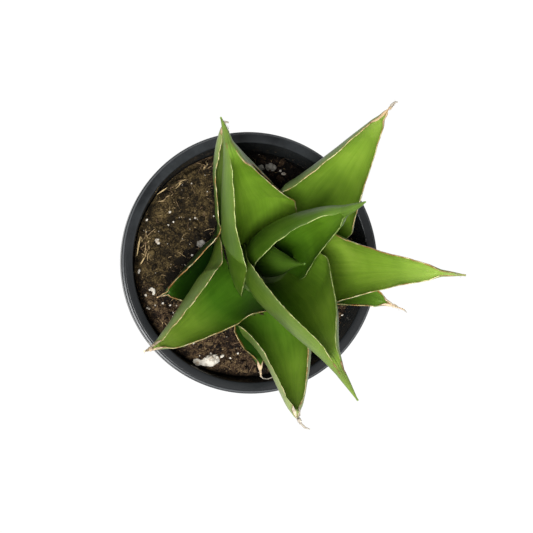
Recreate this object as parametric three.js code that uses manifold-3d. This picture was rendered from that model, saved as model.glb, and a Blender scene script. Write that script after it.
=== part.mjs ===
// A young tower green snake plant in its black nursery pot, in millimetres, +Z up.
// The origin is the middle of the pot's underside. +X points to the right of the photo, +Y to its top.
import * as THREE from "three";
import { mergeVertices } from "three/addons/utils/BufferGeometryUtils.js";
import Module from "manifold-3d";

const GAP = 0.3; // room between two pieces that don't touch
const RIM_Z = 90; // top of the pot's rim
const RIM_R = 54; // outside radius of the rim: a pot of 108 mm
const LIP = 4.8; // width of the flat lip, which is folded outwards
const LIP_THICK = 1.4; // thickness of the lip
const SKIRT_Z = 83.6; // lower edge of the skirt that hangs from the lip
const FOOT_R = 38; // outside radius of the wall at its foot
const WALL = 1; // thickness of the wall
const FLOOR_Z = 1.6; // top of the pot's floor
const DRAIN = { count: 8, radius: 3.8, ring: 27 }; // round holes in the floor
const POT_TURNS = 56; // facets round the pot
const SOIL_Z = 81.5; // mean height of the potting mix
const SOIL_R = 46.4; // where the mix rolls off towards the wall
const SOIL_TURNS = 44; // facets round the mix
const CROWN_R = 14; // radius of the stem that the leaves grow from
const AXIS = [6, -1]; // where the plant stands in the pot
const ROOT_Z = 77; // height where the leaf bases start
const RINGS = 13; // steps along a leaf
const SPANS = 7; // steps across a leaf
const EDGE = 0.8; // thickness of a leaf at its margin
const THINNING = 0.45; // share of its thickness that a leaf loses from base to tip
const WIDEST_OPEN = 2.5; // the largest half opening of a leaf's curl, in radians
const CHORD_LIMITS = [0.012, 0.9995]; // chord over arc: a closed awl and a nearly flat blade
const BASE_PULL = 0.36; // how far the base's direction carries, as a share of base to tip
const TIP_PULL = 0.33; // the same for the tip's direction
const TIP_R = 0.35; // radius of the blunt end of an awl

const wasm = await Module();
wasm.setup();
const root = new THREE.Group();
root.name = "potted_tower_green_snake_plant";

const looks = {
  pot: { color: 0x25282a, roughness: 0.38, metalness: 0 },
  soil: { color: 0x43352a, roughness: 0.97, metalness: 0 },
  perlite: { color: 0xd9d5ca, roughness: 0.9, metalness: 0 },
  crown: { color: 0x6f8a3e, roughness: 0.6, metalness: 0 },
  leaf: { color: 0x64942f, roughness: 0.45, metalness: 0 },
};

// A closed three.js geometry as a solid that can be cut.
function solid(geometry) {
  const g = geometry.clone();
  g.deleteAttribute("normal");
  g.deleteAttribute("uv");
  const m = mergeVertices(g, 1e-4);
  return new wasm.Manifold(
    new wasm.Mesh({
      numProp: 3,
      vertProperties: new Float32Array(m.attributes.position.array),
      triVerts: new Uint32Array(m.index.array),
    }),
  );
}

// The largest body of a cut solid; the crumbs a cut leaves are dropped.
function largest(body) {
  const parts = body.decompose();
  return parts.reduce((a, b) => (b.volume() > a.volume() ? b : a));
}

function add(name, body, look) {
  const mesh = body.getMesh();
  const g = new THREE.BufferGeometry();
  g.setAttribute("position", new THREE.BufferAttribute(new Float32Array(mesh.vertProperties), 3));
  g.setIndex(new THREE.BufferAttribute(new Uint32Array(mesh.triVerts), 1));
  const flat = g.toNonIndexed();
  flat.computeVertexNormals();
  const out = new THREE.Mesh(flat, new THREE.MeshStandardMaterial({ ...looks[look] }));
  out.name = name;
  root.add(out);
}

// A ring of closed sections, each a list of points, joined into one skin with a cap at either end.
function skin(sections) {
  const n = sections[0].length;
  const half = n / 2;
  const at = sections.flat();
  const index = [];
  for (let i = 0; i + 1 < sections.length; i++) {
    for (let j = 0; j < n; j++) {
      const a = i * n + j;
      const b = i * n + ((j + 1) % n);
      if (j < half) index.push(a, b + n, b, a, a + n, b + n);
      else index.push(a, a + n, b, b, a + n, b + n);
    }
  }
  const last = (sections.length - 1) * n;
  for (let j = 0; j + 1 < half; j++) {
    const k = n - 1 - j;
    index.push(j, j + 1, k, j + 1, k - 1, k);
    index.push(last + j, last + k, last + j + 1, last + j + 1, last + k, last + k - 1);
  }
  const g = new THREE.BufferGeometry();
  g.setAttribute("position", new THREE.Float32BufferAttribute(at.flatMap((p) => [p.x, p.y, p.z]), 3));
  g.setIndex(index);
  return g;
}

// The pot: a tapered cup, a lip folded outwards with a ledge and a skirt, and eight drain holes.
function potBody() {
  const inner = RIM_R - LIP;
  const profile = [
    [0, 0],
    [FOOT_R - 1.4, 0],
    [FOOT_R, 1.3],
    [inner + WALL, RIM_Z - LIP_THICK],
    [RIM_R - 1.2, RIM_Z - LIP_THICK],
    [RIM_R - 1.2, SKIRT_Z],
    [RIM_R - 0.2, SKIRT_Z],
    [RIM_R, RIM_Z - 1.6],
    [RIM_R - 0.3, RIM_Z - 1.1],
    [RIM_R - 1, RIM_Z - 0.9],
    [RIM_R - 1.2, RIM_Z - 0.3],
    [RIM_R - 1.6, RIM_Z],
    [inner + 0.8, RIM_Z],
    [inner + 0.2, RIM_Z - 0.4],
    [inner, RIM_Z - 1.2],
    [FOOT_R - WALL, FLOOR_Z + 1],
    [FOOT_R - WALL - 1, FLOOR_Z],
    [0, FLOOR_Z],
  ].map(([r, z]) => new THREE.Vector2(r, z));
  const cup = new THREE.LatheGeometry(profile, POT_TURNS);
  cup.rotateX(Math.PI / 2);
  let body = solid(cup);
  for (let k = 0; k < DRAIN.count; k++) {
    const a = ((k + 0.5) / DRAIN.count) * 2 * Math.PI;
    const bore = new THREE.CylinderGeometry(DRAIN.radius, DRAIN.radius, 4 * FLOOR_Z, 16);
    bore.rotateX(Math.PI / 2);
    bore.translate(DRAIN.ring * Math.cos(a), DRAIN.ring * Math.sin(a), 0);
    body = body.subtract(solid(bore));
  }
  return body;
}

// Height of the potting mix: low mounds from three crossed waves, a rise round the plant, a rolled edge.
function soilHeight(x, y) {
  const r = Math.hypot(x, y);
  const waves =
    0.5 * Math.sin(x * 0.21 + 1.3) * Math.cos(y * 0.17 - 0.4) +
    0.35 * Math.sin(x * 0.43 - y * 0.39 + 2.1) +
    0.25 * Math.cos(x * 0.71 + y * 0.62);
  const near = Math.hypot(x - AXIS[0], y - AXIS[1]);
  const mound = 2.2 * Math.exp(-((near / 21) ** 2));
  const past = Math.max(r - (SOIL_R - 3.4), 0);
  return SOIL_Z + waves + mound - 0.14 * past ** 2;
}

// The mix fills the cup a little clear of its wall and stands on its floor.
function soilBody() {
  const turns = SOIL_TURNS;
  const radii = [4, 10, 16, 21, 26, 31, 35.5, 39.5, 43, 45, SOIL_R];
  const points = [new THREE.Vector3(0, 0, soilHeight(0, 0))];
  for (const r of radii) {
    for (let k = 0; k < turns; k++) {
      const a = (k / turns) * 2 * Math.PI;
      const x = r * Math.cos(a);
      const y = r * Math.sin(a);
      points.push(new THREE.Vector3(x, y, soilHeight(x, y)));
    }
  }
  const side = [
    [SOIL_R + 0.7, SOIL_Z - 3.5],
    [FOOT_R - 0.6 - WALL - GAP, FLOOR_Z + 1],
    [FOOT_R - 1.4 - WALL - GAP, FLOOR_Z],
  ];
  for (const [r, z] of side) {
    for (let k = 0; k < turns; k++) {
      const a = (k / turns) * 2 * Math.PI;
      points.push(new THREE.Vector3(r * Math.cos(a), r * Math.sin(a), z));
    }
  }
  const rows = radii.length + side.length;
  points.push(new THREE.Vector3(0, 0, FLOOR_Z));
  const index = [];
  for (let k = 0; k < turns; k++) {
    const m = (k + 1) % turns;
    index.push(0, 1 + k, 1 + m);
    for (let i = 0; i + 1 < rows; i++) {
      const a = 1 + i * turns;
      const b = a + turns;
      index.push(a + k, b + k, b + m, a + k, b + m, a + m);
    }
    const last = 1 + (rows - 1) * turns;
    index.push(points.length - 1, last + m, last + k);
  }
  const g = new THREE.BufferGeometry();
  g.setAttribute("position", new THREE.Float32BufferAttribute(points.flatMap((p) => [p.x, p.y, p.z]), 3));
  g.setIndex(index);
  return solid(g);
}

// The short stem the leaf bases grow from, half buried; grow moves its skin outwards.
function crownBody(grow) {
  const profile = [
    [0, ROOT_Z - 11 - grow],
    [CROWN_R - 5 + grow, ROOT_Z - 11 - grow],
    [CROWN_R - 1 + grow, ROOT_Z - 5],
    [CROWN_R + grow, ROOT_Z + 2],
    [CROWN_R - 1.5 + grow, ROOT_Z + 7],
    [CROWN_R - 5 + grow, ROOT_Z + 10.5],
    [CROWN_R - 9.5 + grow, ROOT_Z + 12.5 + grow * 0.7],
    [0, ROOT_Z + 13 + grow],
  ].map(([r, z]) => new THREE.Vector2(r, z));
  const g = new THREE.LatheGeometry(profile, 24);
  g.rotateX(Math.PI / 2);
  g.translate(AXIS[0], AXIS[1], 0);
  return solid(g);
}

const clamp = (x, low, high) => Math.min(Math.max(x, low), high);
const rad = (d) => (d * Math.PI) / 180;
const smooth = (x) => {
  const t = clamp(x, 0, 1);
  return t * t * (3 - 2 * t);
};

// Half opening of a circular arc whose chord is q times its length.
function opening(q) {
  let a = Math.min(Math.sqrt(6 * (1 - q)), 3.1);
  for (let k = 0; k < 12; k++) {
    const f = Math.sin(a) / a - q;
    const d = (a * Math.cos(a) - Math.sin(a)) / (a * a);
    a = clamp(a - f / d, 0.001, 3.14);
  }
  return Math.min(a, WIDEST_OPEN);
}

// The leaves from the innermost to the oldest.
// tip: the end of the awl. root: direction and distance of the base from the plant's axis.
// rise: slope at base and tip, degrees. lean: direction of the tip.
// back: the direction that the back faces, at base and tip. half: half the width along the arc.
// neck: share of it at the base. widest: where, as a share of the length.
// taper: fullness towards the tip. notch: where the margins meet. awl: radius there. curl: chord over arc,
// base and middle. shut: where the curl starts to close. thick: at the middle of the base.
// hug: share of the half width on the left and right side at the base. trim: the same above the base.
const leaves = [
  {
    name: "leaf_01",
    tip: [10, -3, 138],
    root: [228, 3.2],
    rise: [75, 88],
    lean: 343,
    back: [236, 256],
    half: 17.5,
    neck: 0.85,
    widest: 0.36,
    taper: 1,
    notch: 0.86,
    awl: 0.7,
    curl: [0.44, 0.4],
    shut: 0.5,
    thick: 3,
    hug: [0.9, 0.9],
    trim: [1, 1],
  },
  {
    name: "leaf_02",
    tip: [25, 19, 170.5],
    root: [90, 5],
    rise: [60, 87],
    lean: 55,
    back: [91, 52],
    half: 27,
    neck: 0.75,
    widest: 0.26,
    taper: 1.45,
    notch: 0.83,
    awl: 1.7,
    curl: [0.42, 0.44],
    shut: 0.75,
    thick: 3.6,
    hug: [1.05, 1],
    trim: [1, 1],
  },
  {
    name: "leaf_03",
    tip: [20, -53.5, 176.5],
    root: [284, 7],
    rise: [67, 47],
    lean: 292,
    back: [276, 280],
    half: 31.5,
    neck: 0.8,
    widest: 0.34,
    taper: 1.2,
    notch: 0.86,
    awl: 1.4,
    curl: [0.4, 0.5],
    shut: 0.6,
    thick: 3.4,
    hug: [0.95, 1.05],
    trim: [1, 1],
  },
  {
    name: "leaf_04",
    tip: [-29, 48.5, 170],
    root: [127, 11],
    rise: [61, 71],
    lean: 157,
    back: [138, 107],
    half: 34.5,
    neck: 0.8,
    widest: 0.32,
    taper: 0.8,
    notch: 0.79,
    awl: 1.3,
    curl: [0.68, 0.46],
    shut: 0.45,
    thick: 4,
    hug: [0.95, 0.8],
    trim: [1, 0.68],
  },
  {
    name: "leaf_05",
    tip: [66, -7.5, 163.5],
    root: [355, 14],
    rise: [53, 35],
    lean: 352,
    back: [356, 4],
    half: 20.5,
    neck: 0.7,
    widest: 0.42,
    taper: 0.8,
    notch: 0.92,
    awl: 0.95,
    curl: [0.58, 0.68],
    shut: 0.85,
    thick: 3.8,
    hug: [0.8, 0.9],
    trim: [1, 1],
  },
  {
    name: "leaf_06",
    tip: [39, 57, 161.5],
    root: [54, 17],
    rise: [43, 71],
    lean: 61,
    back: [62, 70],
    half: 29,
    neck: 0.7,
    widest: 0.34,
    taper: 0.8,
    notch: 0.9,
    awl: 1,
    curl: [0.68, 0.58],
    shut: 0.85,
    thick: 3.4,
    hug: [0.6, 0.85],
    trim: [1, 1],
  },
  {
    name: "leaf_07",
    tip: [-53, -36, 145],
    root: [213, 12.5],
    rise: [49, 69],
    lean: 188,
    back: [224, 202],
    half: 26,
    neck: 0.95,
    widest: 0.36,
    taper: 1,
    notch: 0.87,
    awl: 1,
    curl: [0.86, 0.4],
    shut: 0.75,
    thick: 4,
    hug: [0.9, 1.05],
    trim: [0.76, 1],
  },
  {
    name: "leaf_08",
    tip: [7.7, -62.9, 141],
    root: [291, 16.5],
    rise: [47, 82],
    lean: 297,
    back: [321, 259],
    half: 28.5,
    neck: 0.75,
    widest: 0.3,
    taper: 0.8,
    notch: 0.9,
    awl: 1.2,
    curl: [0.64, 0.5],
    shut: 0.8,
    thick: 3.8,
    hug: [0.65, 0.85],
    trim: [1, 1],
  },
  {
    name: "leaf_09",
    tip: [-21, 51, 138],
    root: [112, 16.5],
    rise: [44, 87],
    lean: 115,
    back: [118, 100],
    half: 24,
    neck: 0.75,
    widest: 0.32,
    taper: 0.85,
    notch: 0.92,
    awl: 0.7,
    curl: [0.94, 0.6],
    shut: 0.55,
    thick: 3.8,
    hug: [0.9, 0.6],
    trim: [1, 1],
  },
  {
    name: "leaf_10",
    tip: [54.5, -20, 124],
    root: [340, 17],
    rise: [38, 36],
    lean: 334,
    back: [329, 334],
    half: 14,
    neck: 0.75,
    widest: 0.4,
    taper: 1.05,
    notch: 0.88,
    awl: 0.9,
    curl: [0.58, 0.72],
    shut: 0.8,
    thick: 3.8,
    hug: [0.85, 0.9],
    trim: [1, 1],
  },
  {
    name: "leaf_11",
    tip: [-42, -15, 105.5],
    root: [191, 17],
    rise: [22, 41],
    lean: 203,
    back: [185, 185],
    half: 24.5,
    neck: 0.85,
    widest: 0.36,
    taper: 0.95,
    notch: 0.88,
    awl: 0.7,
    curl: [0.94, 0.66],
    shut: 0.85,
    thick: 3.8,
    hug: [0.9, 1.05],
    trim: [1, 1],
  },
  {
    name: "leaf_12",
    tip: [2.5, -47, 95],
    root: [258, 16.5],
    rise: [12, 30],
    lean: 268,
    back: [258, 266],
    half: 10,
    neck: 0.85,
    widest: 0.42,
    taper: 1,
    notch: 0.88,
    awl: 0.8,
    curl: [0.7, 0.9],
    shut: 0.65,
    thick: 3,
    hug: [0.9, 0.9],
    trim: [1, 1],
  },
];

// Frames along a leaf: a cubic curve from base to tip, the way across it and the way inwards.
function spine(leaf, s) {
  const az = rad(leaf.root[0]);
  const base = new THREE.Vector3(
    AXIS[0] + leaf.root[1] * Math.cos(az),
    AXIS[1] + leaf.root[1] * Math.sin(az),
    ROOT_Z,
  );
  const tip = new THREE.Vector3(...leaf.tip);
  const span = base.distanceTo(tip);
  const way = (slope, turn) =>
    new THREE.Vector3(
      Math.cos(rad(slope)) * Math.cos(rad(turn)),
      Math.cos(rad(slope)) * Math.sin(rad(turn)),
      Math.sin(rad(slope)),
    );
  const curve = new THREE.CubicBezierCurve3(
    base,
    base.clone().addScaledVector(way(leaf.rise[0], leaf.root[0]), BASE_PULL * span),
    tip.clone().addScaledVector(way(leaf.rise[1], leaf.lean), -TIP_PULL * span),
    tip,
  );
  const point = curve.getPoint(s);
  const along = curve.getTangent(s);
  const turn = ((leaf.back[1] - leaf.back[0] + 540) % 360) - 180;
  const face = rad(leaf.back[0] + turn * smooth(s));
  const across = new THREE.Vector3(Math.sin(face), -Math.cos(face), 0);
  across.addScaledVector(along, -across.dot(along)).normalize();
  const inward = new THREE.Vector3().crossVectors(across, along);
  return { point, across, inward };
}

// Where ring i stands along a leaf: evenly up to three quarters, then closer together.
function ringAt(i) {
  const u = i / RINGS;
  return u < 0.75 ? u * 1.04 : 0.78 + (u - 0.75) * 0.88;
}

// Half the width of a leaf at s, along its arc: it swells from the base, then narrows into the awl.
function halfWidth(leaf, s) {
  const awl = Math.PI * leaf.awl;
  const blunt = Math.PI * TIP_R;
  if (s < leaf.widest) {
    const early = Math.sin((Math.PI / 2) * (s / leaf.widest));
    return leaf.half * (leaf.neck + (1 - leaf.neck) * early);
  }
  if (s > leaf.notch) return Math.max(awl * (1 - 0.88 * ((s - leaf.notch) / (1 - leaf.notch)) ** 1.2), blunt);
  const late = (s - leaf.widest) / (leaf.notch - leaf.widest);
  return awl + (leaf.half - awl) * (1 - late ** leaf.taper);
}

// One leaf: a curled blade whose two faces are arcs about one centre line, closing into a solid awl.
// grow moves its skin outwards, for the room left in the leaf round it.
function leafBody(leaf, grow) {
  const sections = [];
  for (let i = 0; i <= RINGS; i++) {
    const s = ringAt(i);
    const { point, across, inward } = spine(leaf, s);
    const closing = clamp((s - leaf.shut) / (leaf.notch - leaf.shut), 0, 1);
    const wide = leaf.curl[0] + (leaf.curl[1] - leaf.curl[0]) * smooth(s / leaf.widest);
    const open = opening(clamp(wide * (1 - closing ** 1.6), ...CHORD_LIMITS));
    const r = halfWidth(leaf, s) / open;
    const shut = smooth(closing) ** 3;
    const full = leaf.thick * (1 - THINNING * s);
    const base = smooth(s / 0.5);
    const angle = (v) => {
      const hug = v < 0 ? leaf.hug[0] : leaf.hug[1];
      const trim = v < 0 ? leaf.trim[0] : leaf.trim[1];
      const trimmed = (1 - trim) * base * (1 - smooth(closing) ** 2);
      return open * v * (hug + (1 - hug) * base) * (1 - trimmed) + (grow / r) * v;
    };
    const depth = (v) =>
      Math.min(EDGE + (full - EDGE) * (1 - Math.abs(v) ** 2.2), r * (0.93 - 0.43 * v * v));
    const arc = (radius, a) => [radius * Math.sin(a), r - radius * Math.cos(a)];
    const under = (v) => arc(Math.max(r - depth(v) - grow, 0.05), angle(v));
    const left = under(-1);
    const right = under(1);
    const place = ([x, y]) => point.clone().addScaledVector(across, x).addScaledVector(inward, y);
    const outer = [];
    const inner = [];
    for (let j = 0; j <= SPANS; j++) {
      const v = (2 * j) / SPANS - 1;
      const w = j / SPANS;
      const [x, y] = under(v);
      const flatX = left[0] + (right[0] - left[0]) * w;
      const flatY = left[1] + (right[1] - left[1]) * w + grow;
      outer.push(place(arc(r + grow, angle(v))));
      inner.push(place([x + (flatX - x) * shut, y + (flatY - y) * shut]));
    }
    sections.push([...outer, ...inner.reverse()]);
  }
  return solid(skin(sections));
}

// A lump of perlite: a ball of eighty faces pushed in and out by two waves, longest along its own X.
function lumpBody(lump, grow) {
  const ball = new THREE.IcosahedronGeometry(1, 1);
  const at = ball.attributes.position;
  const [a, b, c] = lump.size.map((n) => n / 2);
  for (let i = 0; i < at.count; i++) {
    const [x, y, z] = [at.getX(i), at.getY(i), at.getZ(i)];
    const long = 0.16 * Math.sin(3.1 * x + 2.3 * y + lump.seed);
    const short = 0.12 * Math.cos(4.3 * z - 2.7 * y + lump.seed * 1.7);
    const k = 1 + long + short;
    at.setXYZ(i, x * (a * k + grow), y * (b * k + grow), z * (c * k + grow));
  }
  ball.rotateZ(rad(lump.turn));
  ball.translate(lump.at[0], lump.at[1], soilHeight(lump.at[0], lump.at[1]) + lump.size[2] * 0.12);
  return solid(ball);
}

const lumps = [
  { name: "perlite_01", at: [-15.5, -40.5], size: [8.4, 5.2, 4.2], turn: 12, seed: 1.0 },
  { name: "perlite_02", at: [-21.0, -41.0], size: [3.8, 3, 2.6], turn: -20, seed: 2.2 },
  { name: "perlite_03", at: [9.5, 40.5], size: [5.4, 3.4, 3], turn: -12, seed: 3.1 },
  { name: "perlite_04", at: [5.5, 40.0], size: [2.8, 2.6, 2.4], turn: 0, seed: 4.4 },
  { name: "perlite_05", at: [-20.0, 8.0], size: [3.6, 3, 2.6], turn: 15, seed: 5.2 },
  { name: "perlite_06", at: [-40.5, -12.0], size: [3, 3.4, 2.6], turn: 30, seed: 6.1 },
  { name: "perlite_07", at: [-38.0, 8.5], size: [2.4, 2.8, 2.2], turn: 0, seed: 7.3 },
];

const crown = crownBody(0);
let soil = soilBody().subtract(crownBody(GAP));
for (const lump of lumps) soil = soil.subtract(lumpBody(lump, GAP));
const lifted = soilBody().translate([0, 0, GAP]);

add("pot", potBody(), "pot");
add("soil", largest(soil), "soil");
add("crown", crown, "crown");
for (const lump of lumps) add(lump.name, lumpBody(lump, 0), "perlite");

// Each leaf makes room for the crown, the mix and every leaf nearer the middle.
const room = [crownBody(GAP), lifted];
for (const leaf of leaves) {
  let body = leafBody(leaf, 0);
  for (const other of room) body = body.subtract(other);
  add(leaf.name, largest(body), "leaf");
  room.push(leafBody(leaf, GAP));
}

export default root;
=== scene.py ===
import math

import bmesh
import bpy
import numpy as np
from mathutils import Matrix, Vector


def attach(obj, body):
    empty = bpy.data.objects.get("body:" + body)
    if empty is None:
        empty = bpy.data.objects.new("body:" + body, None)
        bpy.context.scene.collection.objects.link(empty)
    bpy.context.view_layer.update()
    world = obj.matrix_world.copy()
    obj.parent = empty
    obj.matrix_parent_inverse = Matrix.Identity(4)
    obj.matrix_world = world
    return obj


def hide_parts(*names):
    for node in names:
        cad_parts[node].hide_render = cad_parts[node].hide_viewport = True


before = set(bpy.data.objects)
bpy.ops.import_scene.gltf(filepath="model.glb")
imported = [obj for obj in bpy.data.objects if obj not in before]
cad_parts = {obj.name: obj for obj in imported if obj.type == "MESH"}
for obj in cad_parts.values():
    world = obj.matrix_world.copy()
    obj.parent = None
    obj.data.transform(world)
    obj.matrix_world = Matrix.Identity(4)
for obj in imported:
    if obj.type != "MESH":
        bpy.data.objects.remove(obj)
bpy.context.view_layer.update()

mm = 0.001
body = "root"
rimZ = 90.0  # top of the pot's rim, all sizes here are in millimetres
plantAxis = np.array([6.0, -1.0])  # where the plant stands in the pot
rootZ = 77.0  # height where the leaf bases start


# A soft step from 0 to 1: three times the square less twice the cube.
def smooth(x):
    x = np.clip(x, 0, 1)
    return x * x * (3 - 2 * x)


latticePrimes = np.array([73856093, 19349663, 83492791])  # large primes that scatter the lattice's corners


# Random heights between -1 and 1 on a cubic lattice, blended smoothly between its corners.
def latticeNoise(points, cell, seed):
    q = np.asarray(points, float) / cell
    low = np.floor(q).astype(np.int64)
    part = smooth(q - low)
    total = np.zeros(q.shape[:-1])
    for corner in range(8):
        step = np.array([corner & 1, (corner >> 1) & 1, (corner >> 2) & 1])
        mixed = np.bitwise_xor.reduce((low + step) * latticePrimes, axis=-1) ^ (seed * 7919 + 17)
        mixed = (mixed ^ (mixed >> 13)) * 1274126177
        height = ((mixed ^ (mixed >> 16)) & 0xFFFF) / 32767.5 - 1
        total += height * np.prod(np.where(step, part, 1 - part), axis=-1)
    return total


# The same noise summed over finer and finer lattices.
def roughNoise(points, cell, seed, layers=3, keep=0.5):
    total = 0
    for layer in range(layers):
        total = total + latticeNoise(points, cell * 0.5**layer, seed + layer) * keep**layer
    return total


# Vertices in millimetres and faces become a finished object at the origin.
def makePiece(name, points, faces, material, maps=None, sharp=60):
    mesh = bpy.data.meshes.new(name)
    mesh.from_pydata((np.asarray(points) * mm).tolist(), [], faces)
    piece = bpy.data.objects.new(name, mesh)
    bpy.context.scene.collection.objects.link(piece)
    corner = np.zeros(len(mesh.loops), np.int32)
    mesh.loops.foreach_get("vertex_index", corner)
    for mapName, values in (maps or {}).items():
        layer = mesh.uv_layers.new(name=mapName)
        layer.data.foreach_set("uv", np.asarray(values, np.float32)[corner].ravel())
    mesh.materials.append(material)
    finishMesh(mesh, sharp)
    return piece


def finishMesh(mesh, sharp):
    mesh.polygons.foreach_set("use_smooth", [True] * len(mesh.polygons))
    mesh.set_sharp_from_angle(angle=math.radians(sharp))
    mesh.update()


def addPiece(piece, slot, *nodes):
    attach(piece, body)
    if nodes:
        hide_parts(*nodes)


# Faces of a grid whose rows are closed loops, with both ends capped by fans to a middle point.
def loopFaces(rows, around, capStart, capEnd):
    r, c = np.meshgrid(np.arange(rows - 1), np.arange(around), indexing="ij")
    a = r * around + c
    b = r * around + (c + 1) % around
    quads = np.stack([a, b, b + around, a + around], -1).reshape(-1, 4)
    k = np.arange(around)
    start = np.stack([np.full(around, capStart), (k + 1) % around, k], -1)
    last = (rows - 1) * around
    end = np.stack([np.full(around, capEnd), last + k, last + (k + 1) % around], -1)
    return quads.tolist() + start.tolist() + end.tolist()


# Shader helpers: apart from set, each returns an output socket.
class Shader:
    def __init__(self, name):
        self.material = bpy.data.materials.new(name)
        self.material.use_nodes = True
        self.tree = self.material.node_tree
        self.tree.nodes.clear()
        out = self.tree.nodes.new("ShaderNodeOutputMaterial")
        self.surface = self.tree.nodes.new("ShaderNodeBsdfPrincipled")
        self.tree.links.new(self.surface.outputs[0], out.inputs[0])

    def link(self, value, socket):
        if isinstance(value, bpy.types.NodeSocket):
            self.tree.links.new(value, socket)
        elif hasattr(value, "__len__"):
            socket.default_value = [*value, 1.0][: len(socket.default_value)]
        else:
            socket.default_value = value

    def set(self, **inputs):
        for name, value in inputs.items():
            self.link(value, self.surface.inputs[name.replace("_", " ")])

    # A node of a kind, with its settings and then its inputs filled, by name or number.
    def node(self, kind, inputs, **settings):
        node = self.tree.nodes.new("ShaderNode" + kind)
        for name, value in settings.items():
            setattr(node, name, value)
        for name, value in inputs.items():
            self.link(value, node.inputs[name])
        return node

    def place(self):
        return self.node("TexCoord", {}).outputs["Object"]

    def split(self, vector):
        return self.node("SeparateXYZ", {0: vector}).outputs

    def uv(self, name):
        return self.split(self.node("UVMap", {}, uv_map=name).outputs[0])[:2]

    def vector(self, x, y, z):
        return self.node("CombineXYZ", {0: x, 1: y, 2: z}).outputs[0]

    def math(self, operation, a, b=0.0):
        return self.node("Math", {0: a, 1: b}, operation=operation).outputs[0]

    def times(self, first, *others):
        for other in others:
            first = self.math("MULTIPLY", first, other)
        return first

    def plus(self, a, b):
        return self.math("ADD", a, b)

    def power(self, value, exponent):
        return self.math("POWER", value, exponent)

    # A noise that swings to both sides of nothing.
    def swing(self, noise, amount):
        return self.times(self.math("SUBTRACT", noise, 0.5), amount)

    # A value mapped from one range to 0 and 1 with soft ends; the range may run downwards.
    def step(self, value, start, end):
        rises = start < end
        limits = {"Value": value, "From Min": min(start, end), "From Max": max(start, end)}
        limits.update({"To Min": 0 if rises else 1, "To Max": 1 if rises else 0})
        return self.node("MapRange", limits, interpolation_type="SMOOTHSTEP").outputs[0]

    def noise(self, vector, scale, detail=2.0, roughness=0.5):
        inputs = {"Vector": vector, "Scale": scale, "Detail": detail, "Roughness": roughness}
        return self.node("TexNoise", inputs).outputs[0]

    def cells(self, vector, scale):
        return self.node("TexVoronoi", {"Vector": vector, "Scale": scale}).outputs["Distance"]

    def ramp(self, value, stops):
        node = self.node("ValToRGB", {0: value})
        row = node.color_ramp.elements
        while len(row) < len(stops):
            row.new(0.5)
        for element, (position, colour) in zip(row, stops):
            element.position = position
            element.color = (*colour, 1.0)
        return node.outputs[0]

    def mix(self, share, a, b, blend="MIX"):
        return self.node("Mix", {0: share, 6: a, 7: b}, data_type="RGBA", blend_type=blend).outputs[2]

    def bump(self, height, strength, distance, under=None):
        inputs = {"Strength": strength, "Distance": distance, "Height": height}
        if under is not None:
            inputs["Normal"] = under
        return self.node("Bump", inputs).outputs[0]


# The unit vector at a slope above the horizon and a direction round the vertical, both in degrees.
def wayAt(slope, direction):
    slope, direction = math.radians(slope), math.radians(direction)
    flat = math.cos(slope)
    return np.array([flat * math.cos(direction), flat * math.sin(direction), math.sin(slope)])


# The camera stands on the photo's left, 12.5 degrees off the vertical.
camera = {
    "target": (0, 0, rimZ),
    "distance": 650.0,
    "tilt": 12.5,
    "azimuth": 192.0,
    "pixelsPerMm": 2.432,  # at the target
    "frame": 533.0,
    "targetAt": (252.2, 262.2),  # pixel of the rim's centre
    "sensor": 36.0,
    "clip": (0.05, 20),  # metres
}


def makeCamera():
    tilt = math.radians(camera["tilt"])
    turn = math.radians(camera["azimuth"])
    back = np.array([math.sin(tilt) * math.cos(turn), math.sin(tilt) * math.sin(turn), math.cos(tilt)])
    right = np.cross(-back, [0, 1, 0])
    right /= np.linalg.norm(right)
    up = np.cross(right, -back)
    data = bpy.data.cameras.new("camera")
    data.sensor_width = camera["sensor"]
    focalPixels = camera["pixelsPerMm"] * camera["distance"]
    data.lens = focalPixels / camera["frame"] * camera["sensor"]
    middle = camera["frame"] / 2
    data.shift_x = (middle - camera["targetAt"][0]) / camera["frame"]
    data.shift_y = (camera["targetAt"][1] - middle) / camera["frame"]
    data.clip_start, data.clip_end = camera["clip"]
    cam = bpy.data.objects.new("camera", data)
    bpy.context.scene.collection.objects.link(cam)
    place = (np.array(camera["target"]) + back * camera["distance"]) * mm
    axes = np.eye(4)
    axes[:3, 0], axes[:3, 1], axes[:3, 2], axes[:3, 3] = right, up, back, place
    cam.matrix_world = Matrix(axes.tolist())
    bpy.context.scene.camera = cam


light = {
    "world": 0.2,
    "key": {"azimuth": 224, "elevation": 65, "distance": 1.5, "size": 0.75, "power": 48},
    "fill": {"azimuth": 330, "elevation": 60, "distance": 1.6, "size": 1.2, "power": 6},
    "floor": {"half": 3000, "z": -0.05},
}


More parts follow.
